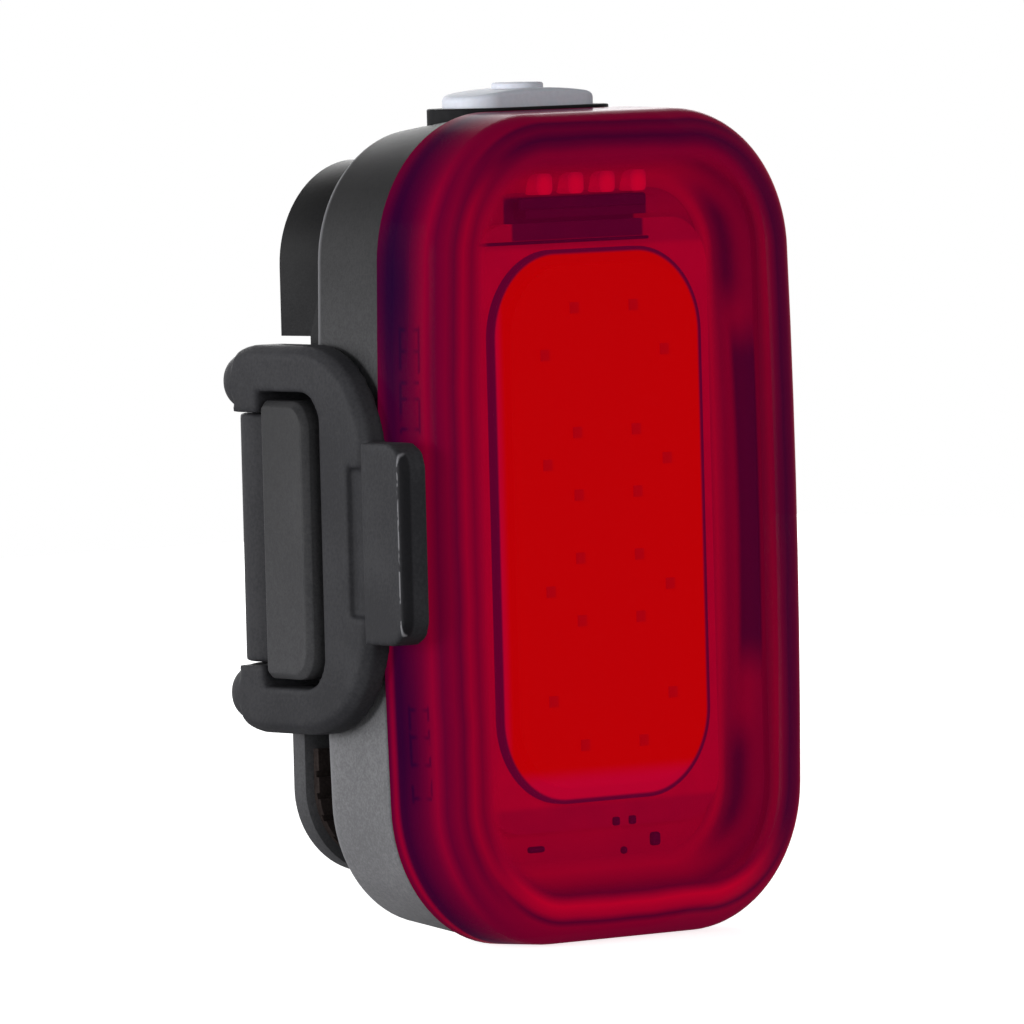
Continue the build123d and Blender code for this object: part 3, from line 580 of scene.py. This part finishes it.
# Dark red plastic that glows faintly by emission: painted light.
dusk = Finish("dark_shade_plastic", Roughness=0.4, Specular_IOR_Level=0.005, Emission_Strength=0.5)
dusk_shade = dusk.mix(dusk.noise(260, 2), (0.055, 0.0006, 0.022, 1), (0.085, 0.0006, 0.024, 1))
dusk.set("Emission Color", dusk_shade)
dusk.set("Base Color", dusk.mix(0.4, dusk_shade, (0, 0, 0, 1)))


def plate_piece(name, middle, size, finish, body):
    """Small plate made from a cube: scaled, placed, and its edges bevelled."""
    select_none()
    bpy.ops.mesh.primitive_cube_add(size=1, location=(0, 0, 0))
    piece = bpy.context.object
    piece.name = name
    bpy.ops.object.mode_set(mode="EDIT")
    bpy.ops.mesh.select_all(action="SELECT")
    bpy.ops.transform.resize(value=size)
    bpy.ops.transform.translate(value=middle)
    bpy.ops.object.mode_set(mode="OBJECT")
    round_width = min(size[1], size[2]) * 0.45
    apply_modifier(piece, "BEVEL", width=round_width, segments=3, limit_method="ANGLE")
    select_only(piece)
    bpy.ops.object.shade_smooth_by_angle(angle=math.radians(35))
    piece.data.materials.append(finish.material)
    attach(piece, body)


tray_face, board_face = -0.01560, -0.01660
for name, middle, size in (
    ("gauge_bar", (-0.0013, -0.01725, 0.0265), (0.0140, 0.0005, 0.0010)),
    ("tray_ledge", (-0.0028, board_face, 0.02335), (0.0186, 0.0005, 0.00026)),
    ("board_part_1", (-0.0067, tray_face - 0.0001, -0.0255), (0.0017, 0.0006, 0.0005)),
    ("board_part_2", (0.0013, board_face - 0.0001, -0.0237), (0.0007, 0.0004, 0.0007)),
    ("board_part_3", (0.0031, board_face - 0.0001, -0.0237), (0.0007, 0.0004, 0.0007)),
    ("board_part_4", (0.0065, tray_face - 0.0001, -0.0255), (0.0010, 0.0006, 0.0011)),
    ("board_part_5", (0.0030, tray_face - 0.0001, -0.0262), (0.0006, 0.0006, 0.0006)),
):
    plate_piece(name, middle, size, dusk, "lamp")

# Light panel: chips under a clear slab that glows an even red, inside a moulded dam whose
# outer wall is dark, on a metal-backed board. The chips show through as faint darker dots.
def panel_light(name, glow, border):
    """Pure red glow over the panel, crimson below and at its left, with a dark outer line."""
    dark_line = (0.09, 0.0006, 0.023, 1)
    finish = Finish(name, Roughness=0.5, Specular_IOR_Level=0.01, Emission_Strength=1.0)
    dam_inset = rim_distances(finish, 0.01155, 0.0223, 0.0071, 0.0)[0]
    across_panel, up_panel = finish.x * 1000, (finish.z - middle_z) * 1000
    lit = across_panel.step(-11.3, -10.2) * up_panel.step(-20.7, -19.2)
    shade = finish.mix(dam_inset.step(0.2, 0.5), dark_line, finish.mix(lit, border, glow))
    finish.set("Base Color", finish.mix(0.93, shade, (0, 0, 0, 1)))
    return finish, shade


panel_glow, panel_shade = panel_light(
    "glowing_panel", (0.485, 0.0002, 0.0002, 1), (0.47, 0.0006, 0.024, 1)
)
panel_glow.set("Emission Color", panel_shade)
dress("light_panel", panel_glow)
chip_face, chip_shade = panel_light(
    "panel_chip", (0.38, 0.0002, 0.003, 1), (0.34, 0.0006, 0.020, 1)
)
chip_face.set("Emission Color", chip_shade)
dress("led_chips", chip_face)
dam_silicone, dam_shade = panel_light(
    "panel_dam_silicone", (0.475, 0.0002, 0.0004, 1), (0.44, 0.0006, 0.024, 1)
)
dam_face_y = -0.0173
dam_wall = ((dam_silicone.y - dam_face_y) * 1000).step(0.05, 0.2)
dam_glow = dam_silicone.mix(dam_wall, dam_shade, (0.09, 0.0006, 0.023, 1))
dam_silicone.set("Emission Color", dam_glow)
dress("light_dam", dam_silicone)
# The board glows by emission, painted light, with painted shade under the charge lamps' bar and a little
# darker near its top and foot.
panel_board = Finish(
    "panel_board_mask", Roughness=0.4, Specular_IOR_Level=0.005, Emission_Strength=0.6
)
board_level = (panel_board.z - middle_z) * 1000
from_bar = (panel_board.x * 1000 - bar_middle).size()
shaded = board_level.step(23.0, 23.2) * (1 - from_bar.step(bar_half, bar_half + 0.4))
board_red = (0.36 + 0.10 * panel_board.noise(300, 2)) * (1 - 0.72 * shaded)
board_red = board_red * (1 - 0.25 * board_level.size().step(22.2, 22.8))
board_shade = panel_board.node("ShaderNodeCombineColor", {}, board_red, green, blue)
panel_board.set("Emission Color", board_shade)
panel_board.set("Base Color", panel_board.mix(0.5, board_shade, (0, 0, 0, 1)))
dress("light_board", panel_board)
gauge_glow = Finish(
    "charge_lamp_resin", Roughness=0.3, Specular_IOR_Level=0.005, Emission_Strength=0.8
)
lamp_pitch, lamp_height = 3.45, 27.4
from_lamp = (gauge_glow.x * 1000 + 2 * lamp_pitch).math("MODULO", lamp_pitch) - lamp_pitch / 2
above_lamp = (gauge_glow.z - middle_z) * 1000 - lamp_height
far = (from_lamp * from_lamp + above_lamp * above_lamp).math("SQRT")
lamp_shade = gauge_glow.mix(
    far.step(0.3, 1.8), (0.50, 0.0006, 0.023, 1), (0.22, 0.0006, 0.023, 1)
)
gauge_glow.set("Emission Color", lamp_shade)
gauge_glow.set("Base Color", gauge_glow.mix(0.5, lamp_shade, (0, 0, 0, 1)))
dress("gauge_leds", gauge_glow)

# Inside the housing: aluminium plate, circuit board with its small parts, and the foil pouch
# battery on its foam with two leads. All are hidden once the lens is on.
sheet_metal = Finish("rolled_aluminium", Metallic=1.0)
rolled = sheet_metal.mix(
    sheet_metal.noise(240), (0.68, 0.69, 0.71, 1), (0.80, 0.81, 0.83, 1)
)
sheet_metal.set("Base Color", rolled)
streak = sheet_metal.node(
    "ShaderNodeTexWave",
    {"bands_direction": "X"},
    Vector=sheet_metal.place,
    Scale=900,
    Distortion=2,
)
sheet_metal.set("Roughness", 0.28 + 0.15 * streak)
dress("heat_spreader", sheet_metal)
foil = Finish("pouch_foil", Metallic=0.9)
wrinkle = foil.noise(420, 4, 0.6)
foil.set("Base Color", foil.mix(wrinkle, (0.58, 0.59, 0.61, 1), (0.75, 0.76, 0.78, 1)))
foil.set("Roughness", 0.3 + 0.2 * wrinkle)
foil.bump(wrinkle, 0.4, 0.0002)
dress("battery_cell", foil)
mask = Finish("board_mask", Roughness=0.35)
track = mask.node(
    "ShaderNodeTexBrick", {}, Vector=mask.place, Scale=260, Mortar_Size=0.03, out="Fac"
)
mask.set("Base Color", mask.mix(track, (0.02, 0.13, 0.05, 1), (0.05, 0.25, 0.10, 1)))
mask.bump(track, 0.2, 0.00004)
dress("circuit_board", mask)
package = Finish("chip_package", Roughness=0.55)
resin = package.mix(package.noise(1800), (0.015, 0.015, 0.016, 1), (0.035, 0.035, 0.036, 1))
package.set("Base Color", resin)
for node in ("driver_chip", "switch_plunger"):
    dress(node, package)
tinned = Finish("tinned_part", Metallic=0.6, Roughness=0.35)
passive_height = -25.5
tinned_end = (tinned.z * 1000 - passive_height).size().step(0.35, 0.45)
tinned.set("Base Color", tinned.mix(tinned_end, (0.30, 0.20, 0.12, 1), (0.7, 0.7, 0.7, 1)))
dress("board_passives", tinned)
foam = Finish("closed_cell_foam", Roughness=0.95)
cells = foam.node("ShaderNodeTexVoronoi", {}, Vector=foam.place, Scale=1600)
foam.set("Base Color", foam.mix(cells, (0.05, 0.05, 0.05, 1), (0.12, 0.12, 0.12, 1)))
foam.bump(cells, 0.6, 0.0002)
dress("battery_foam", foam)
wire = Finish("wire_insulation", Roughness=0.45)
red_side = (wire.x * 1000).step(-0.2, 0.2)
wire.set("Base Color", wire.mix(red_side, (0.02, 0.02, 0.02, 1), (0.5, 0.02, 0.02, 1)))
dress("battery_leads", wire)


# Seal, pads and flap: soft black rubber with a dry, slightly dusty surface.
def soft_rubber(name, dark, pale, roughness=0.66, grain=0.3):
    """Rubber with a fine dry grain and faint cloudy marks from handling."""
    finish = Finish(name, Specular_IOR_Level=0.07)
    speck = finish.noise(3800, 3)
    cloud = finish.noise(150, 3)
    shade = (speck * 0.45 + cloud * 0.55).step(0.35, 0.65)
    finish.set("Base Color", finish.mix(shade, dark, pale))
    finish.set("Roughness", roughness + 0.12 * cloud - 0.06)
    finish.bump(speck, grain, 0.00005)
    return finish


black_rubber = soft_rubber("black_rubber", (0.016, 0.016, 0.017, 1), (0.030, 0.030, 0.031, 1))
dress("lens_seal", black_rubber)
softened("saddle_pad", "saddle_rubber", 0.00015, black_rubber, "lamp", 2)
softened("port_cover", "port_flap", 0.00015, black_rubber, "flap", 2)
grip_rubber = soft_rubber("grip_rubber", (0.020, 0.015, 0.014, 1), (0.036, 0.028, 0.026, 1))
dress("clip_grip", grip_rubber)

# Charge socket, switch and pin: formed and ground steel.
steel = Finish("formed_steel", Metallic=1.0)
ground = steel.mix(steel.noise(500), (0.50, 0.50, 0.52, 1), (0.62, 0.62, 0.64, 1))
steel.set("Base Color", ground)
steel.set("Roughness", 0.25 + 0.15 * steel.noise(2800, 2))
for node in ("charge_socket", "tact_switch", "strap_pin"):
    dress(node, steel)

# Button: a soft grey-blue silicone cap with a crowned top and a round nub, in a hard black
# frame pressed into the housing's top.
silicone = Finish("button_silicone", Specular_IOR_Level=0.12, Subsurface_Weight=0.05)
pale_speck = silicone.noise(2600, 2)
grey_blue = silicone.mix(pale_speck, (0.54, 0.56, 0.625, 1), (0.64, 0.66, 0.725, 1))
silicone.set("Base Color", grey_blue)
silicone.set("Roughness", 0.55 + 0.1 * pale_speck)
silicone.bump(pale_speck, 0.15, 0.00004)
softened("button_cap", "button_top", 0.0003, silicone, "button")
black_gloss = Finish("black_frame_plastic", Specular_IOR_Level=0.03)
black = black_gloss.mix(
    black_gloss.noise(1200), (0.006, 0.006, 0.007, 1), (0.014, 0.014, 0.015, 1)
)
black_gloss.set("Base Color", black)
black_gloss.set("Roughness", 0.46 + 0.1 * black_gloss.noise(2000, 2))
softened("button_frame", "button_bezel", 0.0002, black_gloss, "lamp")

# Peg: hard plastic with a bevelled face, which the strap's ring hooks over.
# Painted shade: lighter towards the foot, darker towards the top.
peg_plastic = moulded_plastic(
    "peg_plastic",
    (0.019, 0.019, 0.0205, 1),
    (0.027, 0.027, 0.0285, 1),
    roughness=0.34,
    grain=0.12,
    low=2.4,
    high=0.3,
)
softened("strap_peg", "hook_peg", 0.00010, peg_plastic, "lamp")

# Strap: grey-black silicone, moulded in one piece. Its free end is a ring with a pull tab
# that hooks over the peg, and its band runs behind the saddle to a pin.
strap_rubber = soft_rubber(
    "strap_silicone", (0.0185, 0.0185, 0.021, 1), (0.0295, 0.0295, 0.0325, 1), 0.56
)
seam_y = -19.7
# A broken pale line along the mould seam at the edge between the tab's faces: painted highlight.
seam_highlight = (strap_rubber.y * 1000).line(seam_y, 0.15) * strap_rubber.noise(1300, 1).step(0.40, 0.52)
# Painted shade: the pull tab darker in front of the seam.
on_tab = 1 - (strap_rubber.z * 1000).size().step(7.2, 7.6)
seam_side = on_tab * (1 - (strap_rubber.x * 1000).step(-23.6, -23.3))
tab_face_shade = (1 - (strap_rubber.y * 1000).step(seam_y - 0.2, seam_y + 0.1)) * seam_side
tint_over(strap_rubber, 0.75 * tab_face_shade, (0.003, 0.003, 0.004, 1))
tint_over(strap_rubber, seam_highlight * seam_side, (0.16, 0.16, 0.17, 1))


def moulded_rubber(node, name, grain, rounds, finish, body, longer=0.0):
    """Copy of a CAD node with all its edges rounded as soft moulded rubber has them."""
    piece = merged_copy(node, name)
    if longer:
        bpy.ops.transform.resize(
            value=(1, 1, 1 + longer), center_override=(0, 0, 0), orient_type="GLOBAL"
        )
    bpy.ops.object.mode_set(mode="OBJECT")
    apply_modifier(piece, "REMESH", mode="VOXEL", voxel_size=grain)
    apply_modifier(piece, "SMOOTH", factor=0.5, iterations=rounds)
    select_only(piece)
    bpy.ops.object.shade_smooth()
    piece.data.materials.append(finish.material)
    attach(piece, body)
    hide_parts(node)


moulded_rubber("strap_ring", "strap_hook_ring", 0.00020, 10, strap_rubber, "strap")
moulded_rubber("strap_band", "strap_back_band", 0.00022, 6, strap_rubber, "lamp", 0.036)

# Clip tongue: the same graphite plastic, thin and springy, with a rubber grip inside.
tongue_plastic = moulded_plastic(
    "tongue_plastic", (0.045, 0.045, 0.048, 1), (0.065, 0.065, 0.069, 1), 0.45
)
softened("clip_tongue", "webbing_tongue", 0.00025, tongue_plastic, "clip")
